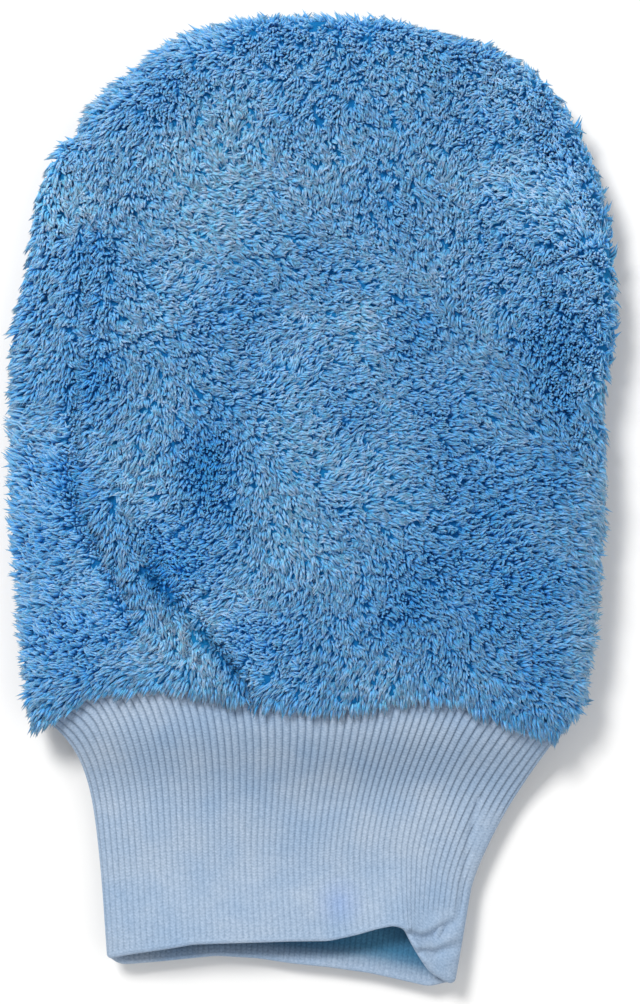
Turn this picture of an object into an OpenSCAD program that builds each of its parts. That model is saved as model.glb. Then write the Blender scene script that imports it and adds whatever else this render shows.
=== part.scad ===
// Plush wash mitt with a ribbed knit cuff, lying flat on its back panel.
// The mitt runs along Y: the wrist opening faces -Y and the fingertips point to +Y.
// The origin is the middle of the footprint, on the surface that the mitt lies on.
// Every layer of the mitt is one loft of flattened rings, grown outwards by that layer's offset.

/* [Mitt] */
// Length from the lowest point of the cuff's mouth to the pile at the fingertips
mitt_length = 270; // [240:1:300]
// Width over the pile at the widest point
mitt_width = 171.6; // [150:0.2:190]
// Width over the pile where the cuff is sewn on
base_width = 160; // [140:1:164]
// Thickness of the empty hand pocket in the middle of the mitt
pocket_height = 13; // [11:0.5:18]
// How far the left side seam has rolled up towards the front, in degrees round the ring
seam_roll = 24; // [0:1:30]

/* [Cloth] */
// Length of the pile that stands on each panel
pile_length = 8; // [6:0.5:10]
// How much the back pile is pressed down by the mitt's own weight
pile_press = 2.1; // [1:0.1:3]
// Thickness of the knitted base that carries the pile
panel_thickness = 1.2; // [0.8:0.1:1.5]
// Thickness of the lining
lining_thickness = 0.6; // [0.4:0.1:0.8]
// Thickness of one layer of the ribbed knit, which is folded double at the mouth
rib_thickness = 1; // [0.8:0.1:1.1]

/* [Cuff] */
// Half height of the cuff where it bends at the wrist
wrist_half_height = 5.6; // [5.2:0.1:6]
// Half height of the cuff at its mouth
mouth_half_height = 7.5; // [6.5:0.5:9]
// Furthest that the cuff bends at the wrist, up or down, in degrees
bend_max = 45; // [20:5:45]

/* [Hidden] */

ply_gap = 0.15;            // air between one layer of cloth and the next
parting_gap = 0.2;         // half of the gap between the front and the back layers at the side seams
knit_gap = 0.3;            // air between the two layers of the folded cuff, and at the cuff's cut ends

// Offsets of the layers from the inner face of the lining
lining_out = lining_thickness;
panel_in = lining_out + ply_gap;
panel_out = panel_in + panel_thickness;
pile_in = panel_out + ply_gap;
pile_out = pile_in + pile_length;

// The loft of the mitt, at the inner face of the lining
cap_y = 53;                // where the straight sides end and the round fingertip end starts
cap_power = 2.2;           // roundness of the fingertip end seen from above, 2 is an ellipse
cap_swell = 3.2;           // how long the thickness lasts towards the fingertips
ring_power = 2.6;          // roundness of a ring, 2 is an ellipse
half_width = mitt_width / 2 - pile_out;
base_half_width = base_width / 2 - pile_out;
cap_reach = mitt_length / 2 - cap_y - pile_out;
half_height = pocket_height / 2;
base_half_height = half_height - 1;
mid_z = half_height + pile_out - pile_press;

// The line where the cuff is sewn to the panels: y against x
seam_y = -57.5;
seam_drop = 4.5;           // how much lower the line runs at its two ends
seam_slope = 0.045;        // and how much it falls to the right
pile_overhang = 5;         // the front pile hangs this far over the cuff

// The cuff
dip_y = -66;               // where the cuff starts to sink from the pocket's height
wrist_y = -83;             // the line across which the cuff bends
cuff_left = 58;            // where its left edge ends up
flare_left = 13.7;          // how much wider that edge is at the seam
flare_left_length = 17;
cuff_right = 40;
flare_right = 28;
flare_right_length = 22;
flare_left_y = -61;        // where the two flares start
flare_right_y = -69.5;
mouth_end = -mitt_length / 2;
mouth_step = 9.8;          // how much further the mouth's back edge reaches than its front edge
mouth_front_drop = 8;      // how much the front edge falls to its corners
mouth_slope = 2.7;         // how much the whole mouth falls to each side of its middle, to the right
wall = 2 * rib_thickness + knit_gap;
wrist_z = wrist_half_height + 3;
mouth_z = mouth_half_height + 0.3;
root_slot = wrist_half_height * sin(bend_max) + 0.4;

// How finely the lofts are cut
side_rows = 9;
cap_rows = 9;
half_steps = 18;
ring_steps = 40;
band_rows = 7;
root_rows = 3;

plush_blue = [0.34, 0.55, 0.72];
base_blue = [0.20, 0.42, 0.62];
lining_blue = [0.62, 0.72, 0.82];
rib_blue = [0.62, 0.71, 0.80];
thread_blue = [0.50, 0.62, 0.76];

function mix(a, b, t) = a + (b - a) * t;
function clamp01(t) = max(0, min(1, t));
function ease(t) = let (u = clamp01(t)) u * u * (3 - 2 * u);
function signed_power(c, p) = sign(c) * pow(abs(c), p);

// A flattened ring: its sideways and upward reach at angle a
function ring_x(a) = signed_power(cos(a), 2 / ring_power);
function ring_z(a) = signed_power(sin(a), 2 / ring_power);

function seam_line(x) = seam_y - seam_drop * pow(x / base_half_width, 2) - seam_slope * x;

// Point of the mitt's loft at row i, ring angle a, grown by the offset o. drop lengthens the open end.
function mitt_point(i, a, o, drop = 0) =
    i <= side_rows
        ? let (
            s = i / side_rows,
            x = (mix(base_half_width, half_width, ease(s)) + o) * ring_x(a),
            t = mix(base_half_height, half_height, ease(s)) + o,
            y = mix(seam_line(x) - drop, cap_y, s)
        ) [x, y, mid_z + t * ring_z(a)]
        : let (
            f = 90 * (i - side_rows) / cap_rows,
            x = (half_width + o) * pow(cos(f), 2 / cap_power) * ring_x(a),
            t = (half_height + o) * pow(cos(f), 2 / cap_swell),
            y = cap_y + (cap_reach + o) * pow(sin(f), 2 / cap_power)
        ) [x, y, mid_z + t * ring_z(a)];

// Ring angle of the left seam: it rolls up between the cuff and the fingertips
function left_angle(i) =
    let (n = side_rows + cap_rows) 180 - seam_roll * ease(i / 3) * ease((n - i) / 4);

// Angle of step j over the front half (side 1) or the back half (side -1) of row i
function half_angle(i, j, side) =
    side > 0
        ? mix(0, left_angle(i), j / half_steps)
        : mix(left_angle(i), 360, j / half_steps);

function on_floor(p) = [p.x, p.y, max(0, p.z)];
function lifted(p, side) = [p.x, p.y, p.z + side * parting_gap];

// One half of a layer between the offsets o_in and o_out, closed along the side seams and the open end
module half_layer(side, o_in, o_out, drop = 0) {
    rows = side_rows + cap_rows;
    per_row = half_steps + 1;
    count = rows * per_row;
    outer = [
        for (i = [0:rows - 1], j = [0:half_steps])
            on_floor(lifted(mitt_point(i, half_angle(i, j, side), o_out, drop), side))
    ];
    inner = [
        for (i = [0:rows - 1], j = [0:half_steps])
            lifted(mitt_point(i, half_angle(i, j, side), o_in, drop), side)
    ];
    tip_out = lifted(mitt_point(rows, 0, o_out), side);
    tip_in = lifted(mitt_point(rows, 0, o_in), side);
    tips = 2 * count;
    // a and b are neighbours on a row, c and d the same pair on the next row
    function quad(a, b, c, d) = [[a, c, b], [b, c, d]];
    function flipped(faces) = [for (f = faces) [f[0], f[2], f[1]]];
    skin = [
        for (i = [0:rows - 2], j = [0:half_steps - 1])
            let (k = i * per_row + j)
                each quad(k, k + 1, k + per_row, k + per_row + 1)
    ];
    skin_tip = [
        for (j = [0:half_steps - 1])
            let (k = (rows - 1) * per_row + j) [k, tips, k + 1]
    ];
    under = flipped([for (f = skin) f + [count, count, count]]);
    under_tip = [
        for (j = [0:half_steps - 1])
            let (k = count + (rows - 1) * per_row + j) [k, k + 1, tips + 1]
    ];
    mouth = [
        for (j = [0:half_steps - 1])
            each quad(j, j + 1, count + j, count + j + 1)
    ];
    first_side = [
        for (i = [0:rows - 2])
            let (k = i * per_row)
                each quad(k, count + k, k + per_row, count + k + per_row)
    ];
    last_side = [
        for (i = [0:rows - 2])
            let (k = i * per_row + half_steps)
                each quad(k, count + k, k + per_row, count + k + per_row)
    ];
    first = (rows - 1) * per_row;
    last = first + half_steps;
    side_tips = [
        [first, tips + 1, tips], [first, count + first, tips + 1],
        [last, tips, tips + 1], [last, tips + 1, count + last]
    ];
    polyhedron(
        concat(outer, inner, [tip_out, tip_in]),
        concat(skin, skin_tip, under, under_tip, flipped(mouth),
            flipped(first_side), last_side, side_tips)
    );
}

// Left and right edges, half height and middle height of the cuff at y
function cuff_left_x(y) =
    -cuff_left - flare_left * exp(min(0, y - flare_left_y) / flare_left_length);
function cuff_right_x(y) =
    cuff_right + flare_right * exp(min(0, y - flare_right_y) / flare_right_length);
function to_wrist(y) = ease((dip_y - y) / (dip_y - wrist_y));
function past_wrist(y) = ease((wrist_y - y) / (wrist_y - mouth_end));
function cuff_half_height(y) =
    mix(mix(base_half_height + panel_out, wrist_half_height, to_wrist(y)),
        mouth_half_height, past_wrist(y));
function cuff_mid_z(y) = mix(mix(mid_z, wrist_z, to_wrist(y)), mouth_z, past_wrist(y));

// Point of the cuff at ring angle a and depth d inside its outer face, where the cloth lies at y
function cuff_point(y, a, d) =
    let (l = cuff_left_x(y), r = cuff_right_x(y), t = cuff_half_height(y) - d)
        [(l + r) / 2 + ((r - l) / 2 - d) * ring_x(a), y, cuff_mid_z(y) + t * ring_z(a)];

// Where the mouth's edge lies at ring angle a: the front edge is drawn up further than the back one
function mouth_shape(a) =
    let (
        u = ring_x(a),
        front = mouth_step - mouth_front_drop * pow(u, 4)
    ) front * ease((1 + ring_z(a)) / 2) - mouth_slope * u;
function ring_angles() = [for (j = [0:ring_steps - 1]) 360 * j / ring_steps];
mouth_lowest = min([for (a = ring_angles()) mouth_shape(a)]);
function mouth_line(a) = mouth_end + mouth_shape(a) - mouth_lowest;

// Band: s runs from the wrist line to the mouth. Root: s runs from the seam to the wrist line.
function band_point(s, a, d) = cuff_point(mix(wrist_y - knit_gap, mouth_line(a), s), a, d);
function root_end(a) = wrist_y + knit_gap + root_slot * abs(ring_z(a));
function root_point(s, a, d) =
    let (x = cuff_point(flare_left_y, a, d).x)
        cuff_point(mix(seam_line(x) - knit_gap, root_end(a), s), a, d);

// A closed loop of rings: rows holds one ring of points for each corner of the wall's section
module ring_loop(rows) {
    n = len(rows);
    m = len(rows[0]);
    polyhedron(
        [for (row = rows) each row],
        [
            for (k = [0:n - 1], j = [0:m - 1])
                let (
                    a = k * m + j,
                    b = k * m + (j + 1) % m,
                    c = (k + 1) % n * m + j,
                    d = (k + 1) % n * m + (j + 1) % m
                ) each [[a, c, b], [b, c, d]]
        ]
    );
}

function steps(n) = [for (k = [0:n]) k / n];
function turned(list) = [for (k = [len(list) - 1:-1:0]) list[k]];

module front_pile() {
    color(plush_blue) half_layer(1, pile_in, pile_out, pile_overhang);
}

module front_panel() {
    color(base_blue) half_layer(1, panel_in, panel_out);
}

module front_lining() {
    color(lining_blue) half_layer(1, 0, lining_out);
}

module back_pile() {
    color(plush_blue) half_layer(-1, pile_in, pile_out);
}

module back_panel() {
    color(base_blue) half_layer(-1, panel_in, panel_out);
}

module back_lining() {
    color(lining_blue) half_layer(-1, 0, lining_out);
}

// A flat bar swept along a line: at[k] is its outer edge, inward[k] points into the pocket
module flat_bar(at, inward, width, thick, closed = false) {
    n = len(at);
    points = [
        for (k = [0:n - 1])
            let (p = at[k], q = at[k] + width * inward[k], up = [0, 0, thick / 2])
                each [p - up, q - up, q + up, p + up]
    ];
    links = closed ? n - 1 : n - 2;
    sides = [
        for (k = [0:links], c = [0:3])
            let (
                a = 4 * k + c,
                b = 4 * k + (c + 1) % 4,
                e = 4 * ((k + 1) % n) + c,
                f = 4 * ((k + 1) % n) + (c + 1) % 4
            ) each [[a, b, e], [b, f, e]]
    ];
    ends = closed ? [] : [[0, 3, 2], [0, 2, 1], [4 * n - 4, 4 * n - 3, 4 * n - 2],
        [4 * n - 4, 4 * n - 2, 4 * n - 1]];
    polyhedron(points, concat(sides, ends));
}

// The raw edges of the panels and linings, turned inside and wrapped with overlock thread
module side_seam_overlock() {
    seam_inset = 1.6;
    seam_width = 4;
    seam_thick = 1.8;
    rows = side_rows + cap_rows;
    right = [for (i = [1:rows - 1]) mitt_point(i, 0, -seam_inset)];
    left = [for (i = [1:rows - 1]) mitt_point(i, left_angle(i), -seam_inset)];
    line = concat(right, [mitt_point(rows, 0, -seam_inset)], turned(left));
    function inward_at(k) =
        let (
            a = line[max(0, k - 1)],
            b = line[min(len(line) - 1, k + 1)],
            t = [b.x - a.x, b.y - a.y],
            s = norm(t)
        ) [-t.y / s, t.x / s, 0];
    color(thread_blue)
        flat_bar(line, [for (k = [0:len(line) - 1]) inward_at(k)], seam_width, seam_thick);
}

// The raw edges at the cuff, turned inside and wrapped with overlock thread
module cuff_seam_overlock() {
    seam_depth = 0.3;
    seam_thick = 1.8;
    seam_width = 5;
    function edge(a, d, y_up) =
        let (p = mitt_point(0, a, -d)) [p.x, p.y + y_up, p.z];
    function ring(d, y_up) = [for (a = ring_angles()) edge(a, d, y_up)];
    color(thread_blue) ring_loop([
        ring(seam_depth + seam_thick, 1),
        ring(seam_depth + seam_thick, 1 + seam_width),
        ring(seam_depth, 1 + seam_width),
        ring(seam_depth, 1)
    ]);
}

// The flared start of the ribbed cuff, both layers, from the seam to the wrist line
module cuff_root() {
    module layer(d0, d1)
        ring_loop(concat(
            [for (s = steps(root_rows)) [for (a = ring_angles()) root_point(s, a, d1)]],
            [for (s = turned(steps(root_rows))) [for (a = ring_angles()) root_point(s, a, d0)]]
        ));
    color(rib_blue) {
        layer(0, rib_thickness);
        layer(rib_thickness + knit_gap, wall);
    }
}

// The rest of the ribbed cuff: one knitted tube folded double, with the fold at the mouth
module cuff_band() {
    fold = 0.96;
    function row(s, d) = [for (a = ring_angles()) band_point(s, a, d)];
    outward = steps(band_rows);
    slit = [for (s = outward) s * fold];
    color(rib_blue) ring_loop(concat(
        [for (s = outward) row(s, wall)],
        [for (s = turned(outward)) row(s, 0)],
        [for (s = slit) row(s, rib_thickness)],
        [for (s = turned(slit)) row(s, rib_thickness + knit_gap)]
    ));
}

// The overlocked seam that closes the cuff's tube, inside its right edge
module cuff_side_seam() {
    seam_depth = wall + 0.6;
    seam_width = 3;
    seam_thick = 1.4;
    line = [for (k = [0:8]) band_point(mix(0.03, 0.9, k / 8), 0, seam_depth)];
    color(thread_blue)
        flat_bar(line, [for (p = line) [-1, 0, 0]], seam_width, seam_thick);
}

front_pile();
front_panel();
front_lining();
back_pile();
back_panel();
back_lining();
side_seam_overlock();
cuff_seam_overlock();
cuff_root();
cuff_band();
cuff_side_seam();
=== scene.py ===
"""A plush wash mitt with a ribbed knit cuff, lying flat on its back panel."""

import math

import bpy
import numpy as np
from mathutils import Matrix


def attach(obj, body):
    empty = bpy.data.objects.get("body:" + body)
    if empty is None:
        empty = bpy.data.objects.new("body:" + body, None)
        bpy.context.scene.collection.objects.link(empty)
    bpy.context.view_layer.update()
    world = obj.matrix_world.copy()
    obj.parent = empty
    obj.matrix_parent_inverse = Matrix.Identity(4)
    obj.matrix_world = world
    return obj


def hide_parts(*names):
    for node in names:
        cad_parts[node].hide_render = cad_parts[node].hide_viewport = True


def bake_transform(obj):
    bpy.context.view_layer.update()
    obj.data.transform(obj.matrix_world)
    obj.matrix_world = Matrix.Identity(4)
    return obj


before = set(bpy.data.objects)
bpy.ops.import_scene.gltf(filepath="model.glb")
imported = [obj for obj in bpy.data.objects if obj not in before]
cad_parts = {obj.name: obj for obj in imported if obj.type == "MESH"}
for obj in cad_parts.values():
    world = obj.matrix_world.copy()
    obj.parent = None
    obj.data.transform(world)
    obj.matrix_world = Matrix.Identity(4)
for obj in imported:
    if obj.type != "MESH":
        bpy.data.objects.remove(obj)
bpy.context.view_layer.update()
MM = 0.001


# ---------------------------------------------------------------------------
# Floor, light and camera.
# A white sheet to lie on, one big soft light high on the left, a weak fill
# from the right, and a camera looking straight down.
# ---------------------------------------------------------------------------
CAMERA_CENTRE = (1.4 * MM, -1.4 * MM)
CAMERA_HEIGHT = 786 * MM
LENS = 100            # in mm
SENSOR = 36
FLOOR_SIZE = 6000     # each side, in mm
scene = bpy.context.scene
scene.view_settings.view_transform = "Standard"

camera = bpy.data.objects.new("camera", bpy.data.cameras.new("camera"))
camera.data.lens = LENS
camera.data.sensor_width = SENSOR
camera.location = (*CAMERA_CENTRE, CAMERA_HEIGHT)
scene.collection.objects.link(camera)
scene.camera = camera


def soft_light(name, place, size, power, colour):
    """A square area light at place, aimed at the middle of the mitt."""
    data = bpy.data.lights.new(name, "AREA")
    data.size = size
    data.energy = power
    data.color = colour
    light = bpy.data.objects.new(name, data)
    light.location = place
    aim = -light.location.normalized()
    light.rotation_euler = aim.to_track_quat("-Z", "Y").to_euler()
    scene.collection.objects.link(light)


soft_light("key", (-0.44, 0.60, 1.2), 0.36, 17.0, (1.0, 0.985, 0.96))
soft_light("fill", (0.75, -0.2, 1.2), 1.2, 3.5, (0.96, 0.98, 1.0))

world = bpy.data.worlds.new("studio")
world.use_nodes = True
world.node_tree.nodes["Background"].inputs["Color"].default_value = (1, 1, 1, 1)
world.node_tree.nodes["Background"].inputs["Strength"].default_value = 0.62
scene.world = world


def new_material(name, roughness, sheen=0.0):
    """A material with a Principled shader, returned with its shader, a maker of its nodes and a
    maker of its links."""
    material = bpy.data.materials.new(name)
    material.use_nodes = True
    tree = material.node_tree
    shader = tree.nodes["Principled BSDF"]
    shader.inputs["Roughness"].default_value = roughness
    shader.inputs["Specular IOR Level"].default_value = 0.25
    shader.inputs["Sheen Weight"].default_value = sheen
    shader.inputs["Sheen Roughness"].default_value = 0.4

    def node(kind, **settings):
        made = tree.nodes.new(kind)
        for key, value in settings.items():
            setattr(made, key, value)
        return made

    return material, shader, node, tree.links.new


def mesh_piece(name, points, faces, material, attributes=None):
    """A smooth mesh object from points in mm and faces, with float attributes on its points."""
    mesh = bpy.data.meshes.new(name)
    points = np.asarray(points, np.float32) * MM
    faces = np.asarray(faces, np.int32)
    corners = faces.shape[1]
    mesh.vertices.add(len(points))
    mesh.vertices.foreach_set("co", points.ravel())
    mesh.loops.add(faces.size)
    mesh.loops.foreach_set("vertex_index", faces.ravel())
    mesh.polygons.add(len(faces))
    mesh.polygons.foreach_set("loop_start", np.arange(0, faces.size, corners, dtype=np.int32))
    mesh.update(calc_edges=True)
    mesh.polygons.foreach_set("use_smooth", np.ones(len(faces), bool))
    for key, values in (attributes or {}).items():
        layer = mesh.attributes.new(key, "FLOAT", "POINT")
        layer.data.foreach_set("value", np.asarray(values, np.float32))
    mesh.materials.append(material)
    mesh.validate()
    piece = bpy.data.objects.new(name, mesh)
    scene.collection.objects.link(piece)
    return piece


floor_white, floor_shader, _, _ = new_material("floor_white", 0.9)
floor_shader.inputs["Base Color"].default_value = (0.79, 0.79, 0.79, 1)
half = FLOOR_SIZE / 2
floor_corners = [(-half, -half, 0), (half, -half, 0), (half, half, 0), (-half, half, 0)]
floor = mesh_piece("floor", floor_corners, [(0, 1, 2, 3)], floor_white)


# ---------------------------------------------------------------------------
# The shape of the two panels.
# Each panel is a flat knit cut to the mitt's outline. Sewn together round the
# sides they bulge a little, and the left seam has rolled up onto the front.
# ---------------------------------------------------------------------------
HEM_Y = -57.5
TIP_Y = 129.0
MID_Z = 14.5
FRINGE = 4.1          # how far the pile stands out past the sewn edge, seen from above
CROWN = 8.4           # half the thickness between the two panels' faces
RING_POWER = 2.6      # roundness of a cross-section, 2 is an ellipse
TIP_X = 0.6           # the middle line
LEFT_WIDTH = 85.2
RIGHT_WIDTH = 84.5
LEFT_CAP_Y = 35       # where each side starts to round in towards the fingertips
RIGHT_CAP_Y = 45
SEAM_ROLL = 26        # degrees that the left seam has rolled up round the ring


def ease(t):
    """0 below 0, 1 above 1, smooth between."""
    t = np.clip(t, 0, 1)
    return t * t * (3 - 2 * t)


def signed_power(value, power):
    """The size of value raised to a power, with the sign that value had."""
    return np.sign(value) * np.abs(value) ** power


def bell(distance, half_width):
    """1 where distance is 0, falling off like a bell curve, to 1/e at half_width."""
    return np.exp(-((distance / half_width) ** 2))


def half_outline(y, width, cap_y, power, taper, taper_power, dent_y):
    """Distance of one side from the middle line: a superellipse over the fingertips, below it a
    taper towards the cuff that grows as a power of the distance, and a shallow dent at dent_y."""
    over = np.clip((y - cap_y) / (TIP_Y - cap_y), 0, 1)
    under = np.clip((cap_y - y) / (cap_y - HEM_Y), 0, None)
    dent = 2.4 * bell(y - dent_y, 14)
    return width * (1 - over**power) ** (1 / power) - taper * under**taper_power - dent


def sides(y):
    """Left and right edge of the sewn panels at y: the two outlines, the left one notched below the
    fingertips, the right one drawn in at the cuff, and the tip pushed to the right and back again."""
    left = half_outline(y, LEFT_WIDTH - FRINGE, LEFT_CAP_Y, 2.45, 4.0, 3, 64)
    left = left - 2.4 * ease((106 - y) / 8) * ease((y - 95.5) / 2.4)
    right = half_outline(y, RIGHT_WIDTH - FRINGE, RIGHT_CAP_Y, 2.75, 9.6, 1.3, 26)
    right = right - 5.2 * ease((-46 - y) / 12)
    skew = 1.7 * bell(y - 114, 5) - 2.6 * ease((y - 118) / 7)
    return TIP_X - left + skew, right + TIP_X * 0.3 + skew


def y_at(v):
    """y at share v of the way from the cuff to the fingertips, slowing like a sine as it gets there."""
    return HEM_Y + (TIP_Y - HEM_Y) * np.sin(v * math.pi / 2)


def left_seam_angle(y):
    """Where round the ring the left seam lies, in degrees: rolled up between the cuff and the tip."""
    return 180 - SEAM_ROLL * ease((y + 34) / 40) * ease((112 - y) / 30)


def to_path(x, y, path):
    """Distance from each point (x, y) to a path of straight stretches, tapered at its ends."""
    best = np.full(np.shape(x), 1e9)
    for (ax, ay), (bx, by) in zip(path[:-1], path[1:]):
        ux, uy = bx - ax, by - ay
        t = np.clip(((x - ax) * ux + (y - ay) * uy) / (ux * ux + uy * uy), 0, 1)
        best = np.minimum(best, np.hypot(x - ax - t * ux, y - ay - t * uy))
    return best


# Creases pressed into the front and the ridge between them, each a path with its depth or height and
# its half width
CREASES = [
    ([(-62, 76), (-62, 58), (-64, 32), (-64.5, 2), (-60, -13), (-53, -25), (-49, -37)], 2.2, 2.0),
    ([(-47, -19), (-41, -26), (-34, -33), (-27, -42), (-20.5, -50), (-16, -60)], 2.8, 1.6),
    ([(6, 82), (1, 66), (-14, 40), (-28, 6)], 1.0, 9.0),
]
RIDGE = ([(-55, -4), (-49, -22), (-39, -35), (-30, -46), (-25, -55)], 1.8, 5.0)


def crease_depth(x, y):
    """How deep the front is pressed in: a bell curve across each crease, less the ridge's."""
    depth = np.zeros(np.shape(x))
    for path, deep, half_width in CREASES:
        depth += deep * bell(to_path(x, y, path), half_width)
    path, high, half_width = RIDGE
    return depth - high * bell(to_path(x, y, path), half_width)


# The sewn edge at the cuff, pulled into shallow scallops: points (x, y) along it
HEM_EDGE = [
    (-75, -61.5), (-68, -58.5), (-60, -53.2), (-44, -51.2), (-31, -51.8), (-17, -55.0), (0, -57.0),
    (11, -56.5), (23, -54.6), (31, -53.5), (40, -54.6), (48, -58.6), (57, -62.5), (66, -64.6), (75, -65),
]


def hem_line(x):
    """How far the sewn edge at the cuff runs from HEM_Y, straight between its points."""
    edge_x, edge_y = np.array(HEM_EDGE).T
    return np.interp(x, edge_x, edge_y) - HEM_Y


def panel_point(v, angle, lift=0.0):
    """Point of the panels' outer face. v runs from the cuff, 0, to the fingertips, 1, and angle goes
    round the ring in degrees, over the front from 0 to 180 and back under. Each ring is a
    superellipse between the two edges, pinched at the seams and pressed in at the creases, and lift
    moves it outwards."""
    turn = np.radians(angle)
    y = y_at(v)
    left, right = sides(y)
    wide = (right - left) / 2
    swell = (wide / 81).clip(0, 1) ** 0.7 * (0.9 + 0.1 * ease((y - HEM_Y) / 40))
    across = signed_power(np.cos(turn), 2 / RING_POWER)
    up = signed_power(np.sin(turn), 2 / RING_POWER)
    seam = left_seam_angle(y)
    pinch = 1 - 0.034 * bell(angle - seam, 7) - 0.02 * bell(angle, 8)
    x = (left + right) / 2 + (wide + lift) * across * pinch
    z = MID_Z + (CROWN * swell + lift) * up * pinch
    z = z - np.where(up > 0, up, 0) * crease_depth(x, y) * ease((y - HEM_Y + 15) / 15)
    y = y + hem_line(x) * ease(1 - v / 0.35) + lift * ease((v - 0.8) / 0.2) * 0.8
    return np.stack([x, y, z], -1)


NEAR_TIP = 0.9999     # the last place short of the tip, where the rings close to a line


def panel_normal(v, angle):
    """Outward direction of the panels' face, from small steps along and round it."""
    dv, da = 0.002, 0.4
    v0, v1 = np.clip(v - dv, 0, NEAR_TIP), np.clip(v + dv, 0, NEAR_TIP)
    along = panel_point(v1, angle) - panel_point(v0, angle)
    around = panel_point(v, angle + da) - panel_point(v, angle - da)
    normal = np.cross(along, around)
    return normal / np.linalg.norm(normal, axis=-1, keepdims=True).clip(1e-9)


def grid_faces(rows, columns, closed=False):
    """Quads between neighbouring points of a grid, wrapping round its columns if closed."""
    i, j = np.meshgrid(np.arange(rows - 1), np.arange(columns if closed else columns - 1), indexing="ij")
    a = i * columns + j
    b = i * columns + (j + 1) % columns
    return np.stack([a, a + columns, b + columns, b], -1).reshape(-1, 4)


def angle_range(y, front):
    """From where to where a panel goes round the ring: the right seam is at 0 and at 360 degrees."""
    seam = left_seam_angle(y)
    return (np.zeros_like(seam), seam) if front else (seam, np.full_like(seam, 360.0))


def half_shell(name, front, lift_out, lift_in, material, rows=110, columns=110, paint=None):
    """A closed skin between two lifts of the panels' face, over the front or the back. paint turns
    its points into named values for the material."""
    v = np.linspace(0, 0.9985, rows)[:, None]
    share = np.linspace(0, 1, columns)[None, :]
    low, high = angle_range(y_at(v), front)
    angle = low + (high - low) * share
    v = np.broadcast_to(v, angle.shape)
    outer = panel_point(v, angle, lift_out)
    inner = panel_point(v, angle, lift_in)
    count = rows * columns
    skin = grid_faces(rows, columns)
    ring = np.concatenate([
        np.arange(columns),
        np.arange(1, rows) * columns + columns - 1,
        (rows - 1) * columns + np.arange(columns - 2, -1, -1),
        np.arange(rows - 2, 0, -1) * columns,
    ])
    after = np.roll(ring, -1)
    rim = np.stack([ring, after, after + count, ring + count], -1)
    faces = np.concatenate([skin, skin[:, ::-1] + count, rim])
    points = np.concatenate([outer.reshape(-1, 3), inner.reshape(-1, 3)])
    return mesh_piece(name, points, faces, material, attributes=paint(points) if paint else None)


# ---------------------------------------------------------------------------
# Panel knit: the flat warp knit that the pile is locked into. Coloured deeper than
# the pile as painted shade, it only shows as the dark between the tufts.
# ---------------------------------------------------------------------------
panel_knit, shader, node, link = new_material("panel_knit", 0.9)


def in_place(made, **settings):
    """A texture node of the material being made, with its settings, laid out in the piece's own space."""
    link(node("ShaderNodeTexCoord").outputs["Object"], made.inputs["Vector"])
    for key, value in settings.items():
        made.inputs[key].default_value = value
    return made


def coloured(fac, *stops):
    """Colour that runs through the stops, each a value of fac and a colour."""
    made = node("ShaderNodeValToRGB")
    first, last = made.color_ramp.elements
    first.position, first.color = stops[0][0], (*stops[0][1], 1)
    last.position, last.color = stops[-1][0], (*stops[-1][1], 1)
    for place, colour in stops[1:-1]:
        made.color_ramp.elements.new(place).color = (*colour, 1)
    link(fac, made.inputs["Fac"])
    return made.outputs["Color"]


loops = in_place(node("ShaderNodeTexVoronoi"), Scale=900)
# Painted shade: the knit is coloured dark for the gaps between the tufts
colour = coloured(loops.outputs["Distance"], (0, (0.02, 0.15, 0.36)), (1, (0.05, 0.26, 0.52)))
link(colour, shader.inputs["Base Color"])

KNIT_THICK = 1.1
front_panel = half_shell("front_panel_knit", True, 0.0, -KNIT_THICK, panel_knit)
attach(front_panel, "mitt")
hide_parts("front_panel")
back_panel = half_shell("back_panel_knit", False, 0.0, -KNIT_THICK, panel_knit)
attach(back_panel, "mitt")
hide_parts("back_panel")


# ---------------------------------------------------------------------------
# Lining: a thin smooth tricot inside each panel, against the hand. It is cut
# like the panel and caught in the same seams.
# ---------------------------------------------------------------------------
lining_knit, shader, node, link = new_material("lining_knit", 0.75, sheen=0.1)
wales = in_place(node("ShaderNodeTexWave", bands_direction="X"), Scale=500)
colour = coloured(wales.outputs["Fac"], (0, (0.16, 0.27, 0.42)), (1, (0.24, 0.37, 0.54)))
link(colour, shader.inputs["Base Color"])

for side, front in (("front", True), ("back", False)):
    lining = half_shell(f"{side}_lining_tricot", front, -1.3, -1.8, lining_knit, rows=70, columns=70)
    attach(lining, "mitt")
    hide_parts(f"{side}_lining")


# ---------------------------------------------------------------------------
# Pile: tufts of split microfibre, locked into the panel and brushed loose.
# Each tuft leaves the knit upright, bends over the way it was brushed, and
# leans towards its neighbours, which leaves dark gaps between small clumps.
# ---------------------------------------------------------------------------
STRAND_SPACING = (0.66, 0.80)               # on the front and on the back
TUFT_SPACING = 1.8
PILE_LENGTH = 6.0
STRAND_RINGS = ((0.0, 0.40), (0.6, 0.53))   # share of the length and radius; the tip is a point
STRAND_SIDES = 3
UNDERFUR = 0.3                              # share of the strands that are short and lie every way
USUAL_LEAN = 0.53                           # sine of the angle from upright, and its limits
LEAN_LIMITS = (0.1, 0.84)
SUNK = 0.4                                  # how far the roots reach into the knit
CELL_NUMBERS = np.array([1, 4096, 4096**2])  # make one number of a cell's three counts
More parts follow.
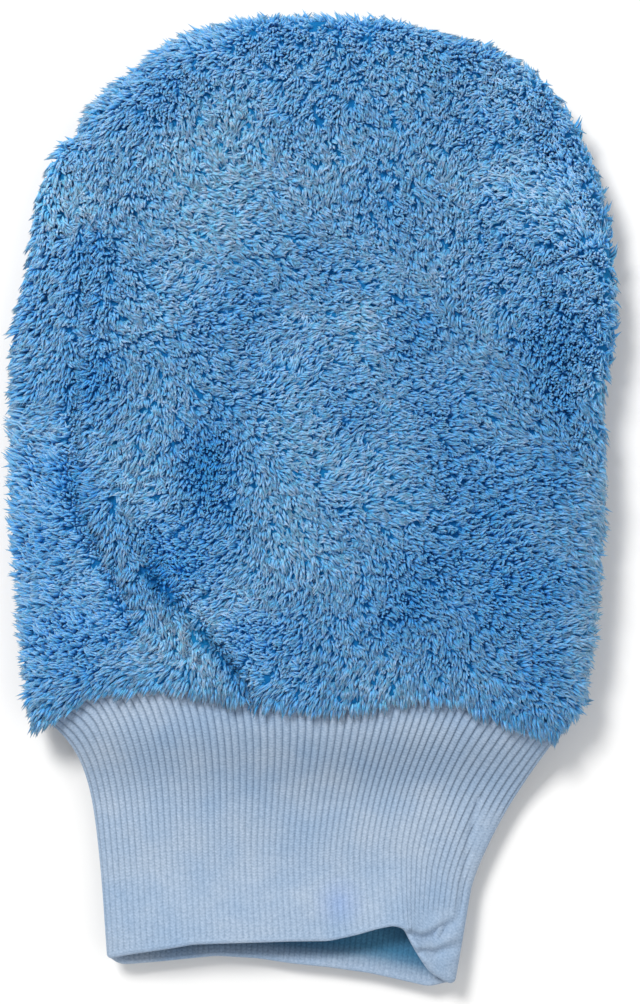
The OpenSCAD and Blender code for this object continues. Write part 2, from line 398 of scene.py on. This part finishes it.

# Patches brushed flat or brushed up, which lean the strands and set the pile's painted sheen (lighter)
# or painted shade (darker) in its colour: x, y, radius and strength
BRUSHED = [
    (-29, 84, 26, 0.9), (-36, 92, 9, 0.4), (-45, 7, 15, 0.6), (-12, 7, 16, 0.6), (-32, 108, 16, 0.25),
    (43, 90, 16, 0.3), (2, 76, 20, 0.1), (64, 84, 16, 0.6), (-70, 82, 10, 1.2), (24, 112, 10, 0.5),
    (-38, -34, 9, 0.8), (-26, -45, 8, 0.45), (12, 40, 14, 0.5), (24, 10, 11, 0.35), (16, -54, 11, 0.2),
    (-14, -24, 12, 0.2), (-18, 48, 10, -0.6), (27, 40, 12, -0.5), (24, -33, 11, -0.6), (45, -20, 17, -0.5),
    (-62, -35, 14, -0.5), (62, 44, 12, -0.5), (-29, 7, 11, -1.5), (-65, 30, 10, -0.5), (-40, 112, 12, -0.6),
    (-60, 4, 6, -0.9), (-46, -12, 8, -0.9), (-29, -19, 8, -0.7), (42, 100, 8, -0.5), (68, 26, 12, -0.8),
    (4, 112, 10, -0.4), (40, 8, 16, -0.4), (-8, 62, 9, -0.2), (60, -30, 18, -0.2), (-60, -52, 8, -0.5),
    (79, 30, 9, 0.9), (79, 0, 8, 0.8), (78, -30, 9, 0.8), (66, 8, 8, -0.7), (68, -24, 8, -0.5),
    (-9, -15, 8, 0.5), (-20, -5, 7, -0.6), (-18, -42, 8, -0.7), (-38, -21, 6, -0.7), (48, -4, 8, -0.7),
    (60, -45, 7, -0.6), (-69, -12, 9, -0.7), (28, 26, 8, -0.5), (8, 20, 7, -0.6), (5, 92, 7, 0.8),
    (-46, 52, 9, 0.4), (-45, 32, 9, 0.5), (-70, 8, 9, -0.6), (-60, 70, 7, -0.8), (-60, 36, 6, -0.5),
    (-24, 64, 8, -0.4), (68, 94, 7, -0.4), (-48, 104, 8, -0.4), (2, -46, 9, -0.4),
    (80, 14, 9, 0.6), (81, -14, 9, 1.0), (79, -46, 9, 1.0), (-81, 18, 12, 0.6), (54, 110, 8, 0.5),
    (23, -53, 8, 0.6), (12, 48, 6, 0.6), (23, 49, 7, -0.5), (-56, -15, 6, 0.5), (-30, -41, 6, 0.6),
]


def in_crease(x, y, half_width):
    """1 on the bottom of the two sharp creases, falling to 0 beside them."""
    near = np.minimum(to_path(x, y, CREASES[0][0]), to_path(x, y, CREASES[1][0]))
    return bell(near, half_width)


def brushed(x, y):
    """How flat the pile lies, from -1, standing, to 1, flat: a bell for each brushed patch, less in
    the creases, and a weak swirling wave over all of it. It leans the strands, and the colour turns it
    into painted sheen where flat and painted shade where standing, so the drop in the creases also paints
    shade there."""
    total = np.zeros(np.shape(x))
    for px, py, radius, strength in BRUSHED:
        total += strength * np.exp(-(((x - px) ** 2 + (y - py) ** 2) / radius**2))
    # Less flat in the creases: the strands stand up there, and the colour paints shade along them
    total -= (0.3 + 0.4 * ease((15 - y) / 25)) * in_crease(x, y, 2.0)
    total += 0.30 * np.sin(x / 9.1 + 1.7 * np.sin(y / 13.3)) * np.sin(y / 8.3 + 1.3 * np.sin(x / 11.7))
    return np.clip(total, -1, 1)


def brush_heading(x, y):
    """Direction in the plane, in radians, that the pile was brushed in: slow swirls, and down along
    the ridge between the two creases."""
    swirl = (
        -1.7
        + 1.0 * np.sin(x / 33 + 0.8 + 0.9 * np.sin(y / 41))
        + 0.9 * np.sin(y / 29 + x / 47 + 0.5)
        + 0.55 * np.sin(x / 8.7 + 1.1 * np.sin(y / 10.3)) * np.sin(y / 7.9 + 0.4)
    )
    on_ridge = bell(to_path(x, y, RIDGE[0]), 5.5)
    return swirl + (-1.0 - swirl) * on_ridge


def scattered(rng, front, spacing):
    """Roots spread evenly over a panel: random points, as many to a cell of the panel as its area
    asks for, and one kept in each small cube of space."""
    cells = 400
    edge_v = np.linspace(0, NEAR_TIP, cells + 1)
    share = np.linspace(0, 1, cells + 1)
    v, s = np.meshgrid((edge_v[1:] + edge_v[:-1]) / 2, (share[1:] + share[:-1]) / 2, indexing="ij")
    low, high = angle_range(y_at(v), front)
    angle = low + (high - low) * s
    dv, da = edge_v[1] / 2, (high - low) / (2 * cells)
    along = panel_point(np.clip(v + dv, 0, NEAR_TIP), angle) - panel_point(v - dv, angle)
    around = panel_point(v, angle + da) - panel_point(v, angle - da)
    area = np.linalg.norm(np.cross(along, around), axis=-1).ravel()
    pick = rng.choice(area.size, int(area.sum() / spacing**2 * 6), p=area / area.sum())
    v = np.clip(v.ravel()[pick] + rng.uniform(-dv, dv, pick.size), 0, NEAR_TIP)
    s = np.clip(s.ravel()[pick] + rng.uniform(-1, 1, pick.size) / (2 * cells), 0, 1)
    low, high = angle_range(y_at(v), front)
    angle = low + (high - low) * s
    cell = np.floor(panel_point(v, angle) / spacing).astype(np.int64)
    _, keep = np.unique(cell @ CELL_NUMBERS, return_index=True)
    return v[keep], angle[keep]


def in_tufts(root, spacing):
    """Number of the tuft that each strand belongs to: those rooted in one small cube of space,
    in a grid that is turned and bent by waves so that no rows show."""
    x, y, z = root.T
    bent = np.stack([
        0.83 * x - 0.56 * y + 0.9 * np.sin(y / 1.9 + 1.1 * np.sin(x / 3.1)) + 0.3 * z,
        0.56 * x + 0.83 * y + 0.9 * np.sin(x / 2.3 + 1.3 * np.sin(y / 2.7)) - 0.2 * z,
        z + 0.5 * np.sin(x / 2.9),
    ], -1)
    cell = np.floor(bent / spacing + 0.37).astype(np.int64)
    return np.unique(cell @ CELL_NUMBERS, return_inverse=True)[1]


def gathered(tip, tuft, pull):
    """Tips drawn towards the middle of the tips in the same tuft, each by its own share pull."""
    size = np.bincount(tuft)
    middle = np.stack([np.bincount(tuft, tip[:, k]) / size for k in range(3)], -1)
    return tip + np.reshape(pull, (-1, 1)) * (middle[tuft] - tip)


def strands(root, elbow, tip, twist):
    """Closed tapered strands: rings across the parabola that bends from root by elbow to tip, then a
    point. Returns points, triangles, share of the length at each point, and points to a strand."""
    n, sides = len(root), STRAND_SIDES
    shares, radii = np.array(STRAND_RINGS).T
    t = shares[None, :, None]
    spine = root[:, None] * (1 - t) ** 2 + 2 * elbow[:, None] * t * (1 - t) + tip[:, None] * t**2
    heading = tip - root
    heading /= np.linalg.norm(heading, axis=1, keepdims=True).clip(1e-6)
    side = np.cross(heading, np.stack([np.sin(twist), np.cos(twist), np.full(n, 0.3)], -1))
    side /= np.linalg.norm(side, axis=1, keepdims=True).clip(1e-6)
    other = np.cross(heading, side)
    turn = 2 * math.pi * np.arange(sides) / sides
    round_ = side[:, None] * np.cos(turn)[None, :, None] + other[:, None] * np.sin(turn)[None, :, None]
    rings = spine[:, :, None] + radii[None, :, None, None] * round_[:, None]
    rings = rings.reshape(n, -1, 3)
    points = np.concatenate([rings, tip[:, None]], 1)
    per = points.shape[1]
    faces = []
    for k in range(len(radii) - 1):
        for j in range(sides):
            a, b = k * sides + j, k * sides + (j + 1) % sides
            faces += [(a, b, b + sides), (a, b + sides, a + sides)]
    last = (len(radii) - 1) * sides
    faces += [(last + j, last + (j + 1) % sides, per - 1) for j in range(sides)]
    faces += [(0, j + 1, j) for j in range(1, sides - 1)]
    faces = (np.asarray(faces)[None] + per * np.arange(n)[:, None, None]).reshape(-1, 3)
    along = np.concatenate([np.repeat(shares, sides), [1.0]])
    return points.reshape(-1, 3), faces, np.tile(along, n), per


plush_pile, shader, node, link = new_material("plush_pile", 0.85, sheen=0.06)
shader.inputs["Specular IOR Level"].default_value = 0.12
shader.inputs["Subsurface Weight"].default_value = 0.6
shader.inputs["Subsurface Radius"].default_value = (0.7, 0.9, 1.0)
shader.inputs["Subsurface Scale"].default_value = 1.0 * MM


def from_points(name):
    """The value of that name that the piece's points carry."""
    return node("ShaderNodeAttribute", attribute_name=name).outputs["Fac"]


def multiplied(first, second):
    """Two colours multiplied."""
    made = node("ShaderNodeMix", data_type="RGBA", blend_type="MULTIPLY")
    made.inputs["Factor"].default_value = 1
    link(first, made.inputs[6])
    link(second, made.inputs[7])
    return made.outputs[2]


# Teal at the roots, blue half way and greyer at the tips, the dark roots being painted shade deep in
# the pile; redder and lighter where the pile lies flat, painted sheen, and darker where it stands up,
# painted shade; darker in the creases, painted shade, and in some tufts at random; and uneven in the
# fine fibres that a strand stands for
DARKEST_TONE = 0.2
# Colour along each strand, with painted shade at the roots deep in the pile
length_colour_and_root_shade = coloured(
    from_points("along"),
    (0.15, (0.013, 0.30, 0.62)), (0.5, (0.097, 0.402, 0.785)), (0.95, (0.200, 0.360, 0.62)),
)
# Painted sheen where the pile lies flat, painted shade where it stands up
flat_sheen_and_shade = coloured(from_points("flat"), (0, (0.32, 0.70, 0.86)), (1, (1.66, 1.24, 1.03)))
# Tone that differs at random from tuft to tuft, with the painted shade of the creases and of the foot
by_tone_and_shade = coloured(
    from_points("tone_and_shade"),
    (0, (0.22, 0.42, 0.50)), (DARKEST_TONE, (0.58, 0.82, 0.92)), (1, (1.15, 1.10, 1.05)),
)
fibres = in_place(node("ShaderNodeTexNoise"), Scale=700, Detail=2)
by_fibre = coloured(fibres.outputs["Fac"], (0.34, (0.64, 0.92, 0.95)), (0.66, (1.30, 1.08, 1.11)))
colour = multiplied(multiplied(multiplied(length_colour_and_root_shade, flat_sheen_and_shade), by_tone_and_shade), by_fibre)
link(colour, shader.inputs["Base Color"])


def grow_pile(front, seed):
    """Every strand of one panel: its points, triangles, shares of length, tone, flatness, and the x
    of its root. A strand leans by the sine of an angle that grows with how flat the pile lies, near
    the cuff and round the edge, and differs from tuft to tuft. Its length is the pile's, with a
    slow wave and small differences. Its tip is drawn to the middle of its tuft, underfur apart."""
    rng = np.random.default_rng(seed)
    v, angle = scattered(rng, front, STRAND_SPACING[0 if front else 1])
    root = panel_point(v, angle)
    normal = panel_normal(v, angle)
    n = len(root)
    x, y = root[:, 0], root[:, 1]
    tuft = in_tufts(root, TUFT_SPACING)
    tufts = tuft.max() + 1

    def per_tuft(spread):
        """One random number for each tuft, given to all its strands."""
        return rng.normal(0, spread, tufts)[tuft]

    lie = brushed(x, y)
    if not front:
        hidden = ease(-normal[:, 2] / 0.4)
        lie = lie + hidden * (0.3 * np.sin(x / 17) * np.sin(y / 21) - lie)
    under = rng.uniform(0, 1, n) < UNDERFUR
    heading = brush_heading(x, y) + per_tuft(0.38) + rng.normal(0, 1, n) * np.where(under, 1.1, 0.25)
    near_hem = 0.8 * ease((HEM_Y + hem_line(x) + 8 - y) / 8)
    sweep = np.stack([np.cos(heading), np.sin(heading), np.zeros(n)], -1)
    hang = np.stack([np.minimum(x, 0) / 150, np.full(n, -1.0), np.zeros(n)], -1)
    sweep = sweep * (1 - near_hem)[:, None] + near_hem[:, None] * hang
    sweep -= normal * (sweep * normal).sum(1, keepdims=True)
    sweep /= np.linalg.norm(sweep, axis=1, keepdims=True).clip(1e-6)
    lean = USUAL_LEAN + np.where(lie > 0, 0.20, 0.26) * lie + 0.35 * near_hem
    lean = lean + per_tuft(0.12) + rng.normal(0, 0.06, n)
    edge = ease(1 - np.abs(normal[:, 2]) * 1.3)
    lean = np.clip(lean + 0.22 * edge, *LEAN_LIMITS)
    clump = 0.10 * np.sin(x / 1.3 + 2 * np.sin(y / 2.9)) * np.sin(y / 1.5 + 2 * np.sin(x / 3.3))
    length = PILE_LENGTH * (1 + clump + per_tuft(0.06) + rng.uniform(-0.12, 0.12, n))
    length = length * np.where(under, 0.76, 1)
    if front:
        length = length * (1 - 0.12 * ease((25 - y) / 30) * in_crease(x, y, 1.2))
    tip_way = normal * np.sqrt(1 - lean**2)[:, None] + sweep * lean[:, None]
    tip_way /= np.linalg.norm(tip_way, axis=1, keepdims=True)
    pull = rng.uniform(0, 0.45, n) * ~under + 0.25 * edge
    tip = gathered(root + tip_way * length[:, None], tuft, pull)
    elbow = root + normal * (length * 0.5)[:, None] + sweep * (length * 0.10)[:, None]
    elbow = gathered(elbow, tuft, 0.15)
    if not front:
        floor_z = 0.4 + rng.uniform(0, 0.8, n)
        tip[:, 2] = np.maximum(tip[:, 2], floor_z)
        elbow[:, 2] = np.maximum(elbow[:, 2], floor_z)
    twist = rng.uniform(0, 6.28, n)
    points, faces, along, per = strands(root - normal * SUNK, elbow, tip, twist)
    tone_and_shade = 0.58 + per_tuft(0.12) + rng.normal(0, 0.14, n) - 0.3 * under
    tone_and_shade = np.clip(tone_and_shade, DARKEST_TONE, 1)
    # Painted shade: strands in the creases are coloured darker, most low on the front and around y = 60
    if front:
        deep = np.maximum(ease((25 - y) / 30), bell(y - 60, 11))
        tone_and_shade = tone_and_shade * (1 - deep * in_crease(x, y, 1.0))
    tone_and_shade = np.repeat(tone_and_shade, per)
    flat = np.repeat((lie + 1) / 2, per)
    return points, faces, along, tone_and_shade, flat, x, per


def pile_pieces(name, front, seed, strips, node_name):
    """The pile of one panel as strips side by side, each a piece of its own."""
    points, faces, along, tone_and_shade, flat, x, per = grow_pile(front, seed)
    n = len(x)
    order = np.argsort(x, kind="stable")
    points = points.reshape(n, per, 3)
    along, tone_and_shade, flat = (values.reshape(n, per) for values in (along, tone_and_shade, flat))
    per_faces = faces.reshape(n, -1, 3)[0]
    made = []
    for k, chosen in enumerate(np.array_split(order, strips)):
        own = (per_faces[None] + per * np.arange(len(chosen))[:, None, None]).reshape(-1, 3)
        values = {
            "along": along[chosen].ravel(), "tone_and_shade": tone_and_shade[chosen].ravel(), "flat": flat[chosen].ravel(),
        }
        own_points = points[chosen].reshape(-1, 3)
        piece = mesh_piece(f"{name}_{k + 1}", own_points, own, plush_pile, attributes=values)
        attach(piece, "mitt")
        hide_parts(node_name)
        made.append(piece)
    print(name, n, "strands", len(per_faces) * n, "triangles")
    return made


def matted_and_shaded(points):
    """Values for the matted foot of the pile: the strands' colour at the root, dark, and less flat,
    which is painted shade for the gaps between the tufts.
    """
    n = len(points)
    flat = (brushed(points[:, 0], points[:, 1]) + 1) / 2
    return {"along": np.full(n, 0.15), "tone_and_shade": np.full(n, 0.04), "flat": 0.7 * flat}


front_tufts = pile_pieces("front_pile_tufts", front=True, seed=11, strips=5, node_name="front_pile")
back_tufts = pile_pieces("back_pile_tufts", front=False, seed=12, strips=4, node_name="back_pile")
FOOT_HEIGHT = {"front": 2.5, "back": 2.0}
# The foot: a shell under the strands, coloured dark as painted shade between the tufts
for side, front in (("front", True), ("back", False)):
    foot = half_shell(
        f"{side}_pile_foot", front, FOOT_HEIGHT[side], 0.05, plush_pile, rows=150, columns=150, paint=matted_and_shaded
    )
    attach(foot, "mitt")
    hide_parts(f"{side}_pile")


# ---------------------------------------------------------------------------
# Cuff: one tube of fine one-by-one rib knit, folded double with the fold at the
# mouth. Its raw edges are sewn to the panels, so the ribs fan out towards them.
# ---------------------------------------------------------------------------
RIBS = 130
RIB_STEPS = (0.0, 0.15, 0.38, 0.62, 0.85)   # places across one rib, and the height at each
RIB_HEIGHTS = (0.0, 0.80, 1.0, 1.0, 0.80)
RIB_DEPTH = 0.55
CUFF_THICK = 2.3      # both plies and the slit between them
PLY = 1.0
CUFF_LENGTH = 75
CUFF_OVAL = 2.6       # roundness of the ring, 2 is an ellipse
FOLD_START = 0.985    # share of the length at which the fold at the mouth starts to turn in
OUTER_ROWS, FOLD_ROWS, INNER_ROWS, SLIT_ROWS = 90, 9, 24, 12
# The mouth's front and back edges, from its left corner to its right corner
MOUTH_FRONT = [
    (-57.8, -128.3), (-56.6, -127.6), (-54, -127.1), (-50, -126.4), (-42, -125.1), (-34, -123.6),
    (-24, -123.2), (-7, -122.8), (4, -122.8), (11.6, -121.2), (18, -119.3), (22.5, -118.4),
    (25.6, -119.4), (27, -122.2), (29.8, -127), (33, -131.6), (39, -135.2),
]
MOUTH_BACK = [
    (-57.8, -128.3), (-57.2, -129.6), (-55, -130.5), (-45, -129.8), (-28, -128.2), (-16, -128.9),
    (-7, -130.3), (4, -131.4), (16, -133.0), (25, -134.9), (33, -136.6), (39, -135.2),
]
# Small folds where the mouth's right corner is pushed up, and the pressed line beside the tube's seam,
# each a path with its depth and half width
CUFF_FOLDS = [
    ([(26.5, -121.0), (29, -122.3), (32.5, -121.8), (38.5, -118.2)], 2.1, 1.2),
    ([(29.5, -125.6), (33, -126.3), (41, -124.6)], 2.0, 1.4),
    ([(45.5, -84), (43.0, -94), (41.3, -106), (39.8, -117)], 1.2, 0.9),
    ([(26.5, -118.6), (30, -119.8), (35, -117.4)], -1.2, 1.2),
    ([(29, -123.9), (33, -124.4), (39, -121.8)], -1.2, 1.3),
]


def cuff_sides(s):
    """Left and right edge of the cuff at share s of its length, without its flare at the panels."""
    return -58.0 - 5 * (1 - s), 39.8 + 12.5 * (1 - s)


def oval(share):
    """Across (-1 to 1) and up (-1 to 1) of the cuff's flattened ring, at equal steps of its length:
    share runs from 0 at the right edge over the front and back under to 1."""
    half_width, half_height = 50, 5.5
    turn = np.linspace(0, 2 * math.pi, 2001)
    across = signed_power(np.cos(turn), 2 / CUFF_OVAL)
    up = signed_power(np.sin(turn), 2 / CUFF_OVAL)
    stretch = np.hypot(half_width * np.diff(across), half_height * np.diff(up))
    far = np.concatenate([[0], np.cumsum(stretch)])
    return np.interp(share * far[-1], far, across), np.interp(share * far[-1], far, up)


def along_edge(points, share):
    """Point at a share of the way along an edge given by a few points, with its corners rounded
    by averaging over 5% of its length."""
    px, py = np.array(points).T
    far = np.concatenate([[0], np.cumsum(np.hypot(np.diff(px), np.diff(py)))])
    steps = np.linspace(0, 1, 401)
    window = np.hanning(23)[1:-1] / np.hanning(23).sum()
    even = []
    for values in (px, py):
        line = np.interp(steps * far[-1], far, values)
        mirrored = np.concatenate([2 * line[0] - line[10:0:-1], line, 2 * line[-1] - line[-2:-12:-1]])
        even.append(np.interp(share, steps, np.convolve(mirrored, window, "valid")))
    return even


def cuff_half(y):
    """Half the cuff's height: it thins from the panels to the wrist and opens again at the mouth."""
    return 7.4 - 2.8 * ease((-60 - y) / 20) + 2.9 * ease((-98 - y) / 30)


def cuff_mid(y):
    """Height of the cuff's middle: it drops from the panels to the floor and lifts at the mouth."""
    return MID_Z + (7.8 - MID_Z) * ease((-62 - y) / 24) + 1.8 * ease((-104 - y) / 24)


def cuff_point(s, across, up, depth):
    """Point of the cuff. s runs from the sewn edge, 0, to the mouth, 1; across and up are the place
    on its ring; depth goes inwards. Each ring is a flattened oval that spreads towards the panels
    and, at the mouth, takes the shape of the mouth's edges. The front sags in slow waves, with the
    folds pressed in and the mouth's right part arched up, and the back lies on the floor."""
    share = (across + 1) / 2
    front_x, front_y = along_edge(MOUTH_FRONT, share)
    back_x, back_y = along_edge(MOUTH_BACK, share)
    blend = ease((up + 0.7) / 1.4)
    mouth_x = back_x + (front_x - back_x) * blend
    mouth_y = back_y + (front_y - back_y) * blend
    left, right = cuff_sides(s)
    left_end, right_end = cuff_sides(1.0)
    mouth_share = (mouth_x - left_end) / (right_end - left_end)
    flare = 14 * np.exp(-s / 0.18) * (1 - share) ** 1.6
    flare = flare - 16.8 * np.clip(1 - s / 0.68, 0, 1) ** 1.35 * share**1.5
    x = left + (right - left) * (share + (mouth_share - share) * s**3) - flare - depth * across
    seam_y = HEM_Y + hem_line(x) + 1.5
    y = seam_y + (mouth_y - seam_y) * s
    arch = 3.0 * bell(share - 0.80, 0.12) * ease((s - 0.7) / 0.3) * up.clip(0)
    z = cuff_mid(y) + (cuff_half(y) - depth) * up + arch
    z = z + 1.1 * up.clip(0) * np.sin(share * 7 + 0.6 * np.sin(y / 9)) * ease((s - 0.15) / 0.3)
    for path, deep, half_width in CUFF_FOLDS:
        z = z - deep * up.clip(0) * bell(to_path(x, y, path), half_width)
    back_lift = 3.4 * ease((s - 0.90) / 0.10) * (-up).clip(0)
    z = np.maximum(z, 0.15 + depth * 0.3) + back_lift
    return np.stack([x, y, z], -1)


def cuff_mesh():
    """One closed skin: down the outside to the mouth's fold, up the inside, and back through the
    slit between the two plies. Ribs raise the outer and the inner face, less towards the mouth and
    where the cuff is pressed. Returns points, faces, and for each point how deep it is in a groove,
    which the colour darkens as painted shade, how far down the cuff in mm, how far inside, which sets
    the painted shade inside the mouth, and the number of its rib."""
    rib = (np.arange(RIBS)[:, None] + np.array(RIB_STEPS)[None, :]).ravel()
    across, up = oval(rib / RIBS)
    height = np.tile(RIB_HEIGHTS, RIBS)
    t = np.linspace(0, 1, OUTER_ROWS)
    outer = FOLD_START * (1.45 * t - 0.45 * t * t)
    fold = np.radians(np.linspace(10, 170, FOLD_ROWS))
    turn_in = FOLD_START + (1 - FOLD_START) * np.sin(fold)
    inner = FOLD_START * (1 - np.linspace(0, 1, INNER_ROWS) ** 1.7)
    slit = np.linspace(0, 0.9, SLIT_ROWS)
    s = np.concatenate([outer, turn_in, inner, slit, slit[::-1]])[:, None]
    depth = np.concatenate([
        np.zeros(OUTER_ROWS), CUFF_THICK / 2 * (1 - np.cos(fold)), np.full(INNER_ROWS, CUFF_THICK),
        np.full(SLIT_ROWS, CUFF_THICK - PLY), np.full(SLIT_ROWS, PLY),
    ])[:, None]
    ribbed = np.concatenate([
        np.ones(OUTER_ROWS), np.cos(fold), -np.ones(INNER_ROWS), np.zeros(2 * SLIT_ROWS),
    ])[:, None]
    flatter = (1 - 0.6 * ease((s - 0.1) / 0.8)) * (0.1 + 0.9 * ease((1 - s) / 0.035))
    wide = (len(s), rib.size)
    across, up = np.broadcast_to(across, wide), np.broadcast_to(up, wide)
    x, y, _ = np.moveaxis(cuff_point(s, across, up, depth), -1, 0)
    pressed = ease((x - 44 + 0.12 * (-90 - y)) / 1.5) * ease((-84 - y) / 8)
    pushed_up = ease((x - 25) / 4) * ease((-112 - y) / 6)
    flatter = flatter * (1 - 0.75 * np.maximum(pressed, pushed_up) * (up > -0.5))
    sunk = (1 - height) * ribbed * RIB_DEPTH * flatter
    points = cuff_point(s, across, up, depth + sunk)
    faces = grid_faces(len(s) + 1, rib.size, closed=True)[:, ::-1] % (len(s) * rib.size)
    # How deep in a groove; the colour paints shade there
    groove = (1 - height) * flatter
    down = np.broadcast_to(s * CUFF_LENGTH, wide)
    # Mask of the painted shade inside the mouth: the inner faces, away from the fold
    inside = np.broadcast_to(ease((depth - PLY) / 0.9) * ease((0.978 - s) / 0.06), wide)
    column = np.broadcast_to(rib, wide)
    values = {"groove": groove, "down": down, "inside": inside, "column": column}
    return points.reshape(-1, 3), faces, {key: value.ravel() for key, value in values.items()}


rib_knit, shader, node, link = new_material("rib_knit", 0.88, sheen=0.12)


def maths(operation, first, second):
    """A maths node of the material being made; each side is a socket or a number."""
    made = node("ShaderNodeMath", operation=operation)
    for socket, value in zip(made.inputs, (first, second)):
        if isinstance(value, (int, float)):
            socket.default_value = value
        else:
            link(value, socket)
    return made.outputs[0]


# Knit stitches: a small V in every rib, in rows
STITCH_ROW = 0.85
in_rib = maths("ABSOLUTE", maths("SUBTRACT", maths("FRACT", from_points("column"), 0), 0.5), 0)
row = maths("ADD", maths("DIVIDE", from_points("down"), STITCH_ROW), maths("MULTIPLY", in_rib, 1.1))
stitch = maths("SINE", maths("MULTIPLY", row, 2 * math.pi), 0)
stitch = maths("ADD", maths("MULTIPLY", stitch, 0.5), 0.5)

# Darker in the grooves, painted shade, mottled by the dye, fuzzy, with a violet blotch near the mouth,
# and dark teal inside the mouth, painted shade under the front ply
BLOTCH_AT = (6.8 * MM, -112 * MM, 14 * MM)
WHITE = (1.0, 1.0, 1.0)
mottle = in_place(node("ShaderNodeTexNoise"), Scale=60, Detail=4)
fuzz = in_place(node("ShaderNodeTexNoise"), Scale=1500, Detail=2)
blotch = node("ShaderNodeVectorMath", operation="DISTANCE")
blotch.inputs[1].default_value = BLOTCH_AT
link(node("ShaderNodeTexCoord").outputs["Object"], blotch.inputs[0])
# Painted shade: the rib grooves are coloured darker
colour = coloured(from_points("groove"), (0, (0.30, 0.396, 0.532)), (1, (0.145, 0.215, 0.32)))
for tint in (
    coloured(mottle.outputs["Fac"], (0.32, (0.84, 0.90, 0.95)), (0.68, (1.10, 1.04, 0.99))),
    coloured(fuzz.outputs["Fac"], (0.3, (0.84, 0.86, 0.88)), (0.7, (1.14, 1.12, 1.10))),
    coloured(stitch, (0, (0.95, 0.96, 0.97)), (1, (1.03, 1.02, 1.01))),
    coloured(blotch.outputs["Value"], (0.001, (0.82, 0.89, 1.07)), (0.0065, WHITE)),
    # Painted shade inside the mouth, under the front ply
    coloured(from_points("inside"), (0, WHITE), (1, (0.15, 0.42, 0.56))),
):
    colour = multiplied(colour, tint)
link(colour, shader.inputs["Base Color"])
bump = node("ShaderNodeBump")
bump.inputs["Distance"].default_value = 0.08 * MM
bump.inputs["Strength"].default_value = 0.8
link(maths("ADD", stitch, fuzz.outputs["Fac"]), bump.inputs["Height"])
link(bump.outputs["Normal"], shader.inputs["Normal"])

points, faces, values = cuff_mesh()
cuff = mesh_piece("ribbed_cuff", points, faces, rib_knit, attributes=values)
print("cuff", len(faces) * 2, "triangles")
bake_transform(cuff)
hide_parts("cuff_root", "cuff_band")


# ---------------------------------------------------------------------------
# Seams: overlock thread wraps the raw edges inside the mitt and the cuff. One
# runs round the panels, one round the wrist, and one down the cuff's tube.
# ---------------------------------------------------------------------------
seam_thread, shader, node, link = new_material("seam_thread", 0.7)
threads = in_place(node("ShaderNodeTexNoise"), Scale=700)
colour = coloured(threads.outputs["Fac"], (0, (0.12, 0.22, 0.38)), (1, (0.30, 0.42, 0.58)))
link(colour, shader.inputs["Base Color"])


STITCH_PITCH = 1.4
THREAD_STEP = 0.35    # between the rings of the swept mesh


def overlocked(name, spine, across, half_width, half_height, closed=False):
    """A flattened band of thread along a spine: an oval swept along it whose size swells once for each
    stitch. across is the direction of its width at each point of the spine."""
    far = np.concatenate([[0], np.cumsum(np.linalg.norm(np.diff(spine, axis=0), axis=1))])
    steps = np.linspace(0, far[-1], int(far[-1] / THREAD_STEP))
    across = np.stack([np.interp(steps, far, across[:, k]) for k in range(3)], -1)
    spine = np.stack([np.interp(steps, far, spine[:, k]) for k in range(3)], -1)
    if closed:
        spine, across, steps = spine[:-1], across[:-1], steps[:-1]
    ahead = np.gradient(spine, axis=0)
    ahead /= np.linalg.norm(ahead, axis=1, keepdims=True).clip(1e-6)
    across = across - ahead * (across * ahead).sum(1, keepdims=True)
    across /= np.linalg.norm(across, axis=1, keepdims=True).clip(1e-6)
    over = np.cross(ahead, across)
    swell = 1 + 0.14 * np.sin(2 * math.pi * steps / STITCH_PITCH)
    turn = np.linspace(0, 2 * math.pi, 11)[:-1]
    rings = (
        spine[:, None]
        + across[:, None] * (half_width * swell[:, None] * np.cos(turn))[..., None]
        + over[:, None] * (half_height * swell[:, None] * np.sin(turn))[..., None]
    )
    rows, count = len(spine), len(turn)
    quads = grid_faces(rows + 1 if closed else rows, count, closed=True) % (rows * count)
    triangles = np.concatenate([quads[:, [0, 1, 2]], quads[:, [0, 2, 3]]])[:, ::-1]
    points = rings.reshape(-1, 3)
    if not closed:
        k = np.arange(count)
        after = (k + 1) % count
        last = (rows - 1) * count
        start = np.stack([k, after, np.full(count, rows * count)], -1)
        end = np.stack([last + after, last + k, np.full(count, rows * count + 1)], -1)
        points = np.concatenate([points, spine[:1], spine[-1:]])
        triangles = np.concatenate([triangles, start[:, ::-1], end[:, ::-1]])
    piece = mesh_piece(name, points, triangles, seam_thread)
    return piece


# Up the left seam, round the fingertips and down the right seam
rise = np.linspace(0.03, 0.985, 160)
up_left = panel_point(rise, left_seam_angle(y_at(rise)), -3.2)
down_right = panel_point(rise[::-1], np.zeros(160), -3.2)
round_tip = np.concatenate([up_left, down_right])
inwards = np.cross(np.gradient(round_tip, axis=0), [0, 0, 1])
side_seam = overlocked("side_seam_stitching", round_tip, inwards, half_width=1.4, half_height=0.6)
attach(side_seam, "mitt")
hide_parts("side_seam_overlock")

# Round the wrist end of the panels, where the cuff is sewn on
cuff_ring = panel_point(np.full(241, 0.02), np.linspace(0, 360, 241), -2.9)
lengthwise = np.tile([0.0, 1.0, 0.0], (241, 1))
cuff_seam = overlocked(
    "cuff_seam_stitching", cuff_ring, lengthwise, half_width=1.4, half_height=0.6, closed=True
)
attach(cuff_seam, "mitt")
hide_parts("cuff_seam_overlock")

# Down the inside of the cuff's right edge, where its tube is closed
along_cuff = np.linspace(0.03, 0.93, 120)
side_line = cuff_point(along_cuff, np.ones(120), np.zeros(120), np.full(120, CUFF_THICK + 0.8))
upright = np.tile([0.0, 0.0, 1.0], (120, 1))
cuff_side = overlocked("cuff_side_stitching", side_line, upright, half_width=1.3, half_height=0.5)
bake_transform(cuff_side)
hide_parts("cuff_side_seam")
